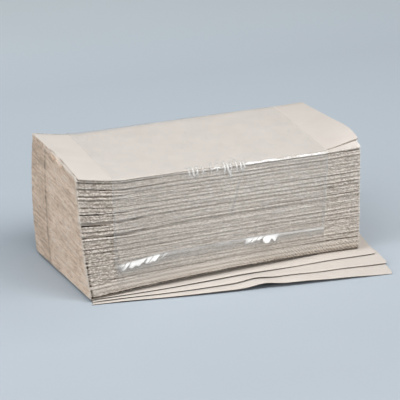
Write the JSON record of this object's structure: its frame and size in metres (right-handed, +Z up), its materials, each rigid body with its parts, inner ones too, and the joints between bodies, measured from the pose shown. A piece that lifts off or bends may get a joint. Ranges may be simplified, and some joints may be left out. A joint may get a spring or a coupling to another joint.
{
  "type": "pack of folded paper hand towels",
  "caption": "Block of interfolded recycled paper hand towels in a wide clear film band, loose folded towels fanned out from under its front; towels pull out one by one to dry hands.",
  "frame": {"origin": "on the surface that the pack lies on, on the underside of the lowest towel, below the middle of the top towel", "axes": "+X along the folds, -Y towards the front where the loose towels fan out, +Z up"},
  "size_m": [0.2757, 0.1698, 0.0998],
  "materials": {
    "recycled_paper": "matte",
    "clear_film": "gloss"
  },
  "bodies": {
    "root": {"top_towel": "recycled_paper", "interfolded_towels_01": "recycled_paper", "interfolded_towels_02": "recycled_paper", "interfolded_towels_03": "recycled_paper", "interfolded_towels_04": "recycled_paper", "interfolded_towels_05": "recycled_paper", "interfolded_towels_06": "recycled_paper", "interfolded_towels_07": "recycled_paper", "interfolded_towels_08": "recycled_paper", "interfolded_towels_09": "recycled_paper", "interfolded_towels_10": "recycled_paper", "upper_fanned_towel": "recycled_paper", "middle_fanned_towel": "recycled_paper", "lower_fanned_towel": "recycled_paper", "film_band": "clear_film"}
  },
  "joints": []
}
